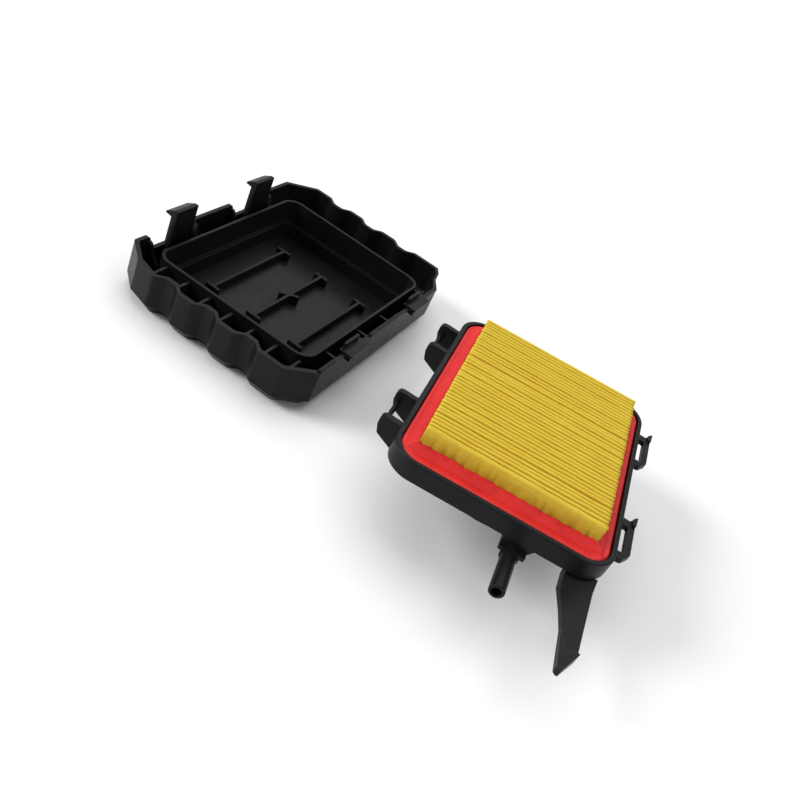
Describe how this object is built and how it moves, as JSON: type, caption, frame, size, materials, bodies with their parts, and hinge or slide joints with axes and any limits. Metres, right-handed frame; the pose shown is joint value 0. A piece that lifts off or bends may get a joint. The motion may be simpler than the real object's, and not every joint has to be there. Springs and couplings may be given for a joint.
{
  "type": "air filter housing",
  "caption": "Air filter housing for a small engine: tray with pleated panel element, breather spigot and guide leg, and its clip-on ribbed cover lying open beside it.",
  "frame": {"origin": "centre of the carburettor port, on the outer face of its gasket, which is the plane the tray and the cover rest on", "axes": "+Z out of the tray's open side, +X across the tray from the latch brackets to the hook loops, +Y along the tray away from the breather spigot"},
  "size_m": [0.2775, 0.2704, 0.0592],
  "materials": {
    "black_plastic": "satin moulded",
    "red_rubber": "soft moulded polyurethane",
    "filter_paper": "folded filter paper",
    "gasket_rubber": "matt",
    "plated_steel": "zinc plated"
  },
  "bodies": {
    "tray": {"base_tray": "black_plastic", "inlet_duct": "black_plastic", "port_gasket": "gasket_rubber", "stud_bushes": "plated_steel", "latch_bracket_front": "black_plastic", "latch_bracket_rear": "black_plastic", "hook_loop_front": "black_plastic", "hook_loop_rear": "black_plastic", "breather_spigot": "black_plastic", "guide_leg": "black_plastic"},
    "element": {"element_frame": "red_rubber", "pleat_pack": "filter_paper"},
    "cover": {"cover_shell": "black_plastic", "seal_wall": "black_plastic", "web_ribs": "black_plastic", "floor_ribs": "black_plastic", "rim_strips": "black_plastic", "hook_tab_near": "black_plastic", "hook_tab_far": "black_plastic"},
    "latch_near": {"latch_arm_near": "black_plastic"},
    "latch_far": {"latch_arm_far": "black_plastic"}
  },
  "joints": [
    {"name": "element_lift", "type": "slide", "parent": "tray", "child": "element", "axis": [0, 0, 1], "range_m": [0, 0.06]},
    {"name": "cover_lift", "type": "slide", "parent": "tray", "child": "cover", "axis": [0, 0, 1], "range_m": [0, 0.12]},
    {"name": "latch_near_flex", "type": "hinge", "parent": "cover", "child": "latch_near", "pos_m": [-0.20717, 0.03525, 0.005], "axis": [0.1633, 0.9866, 0], "range_deg": [-2, 6], "stiffness_Nm_per_rad": 1.5},
    {"name": "latch_far_flex", "type": "hinge", "parent": "cover", "child": "latch_far", "pos_m": [-0.19574, 0.10431, 0.005], "axis": [0.1633, 0.9866, 0], "range_deg": [-2, 6], "stiffness_Nm_per_rad": 1.5}
  ]
}
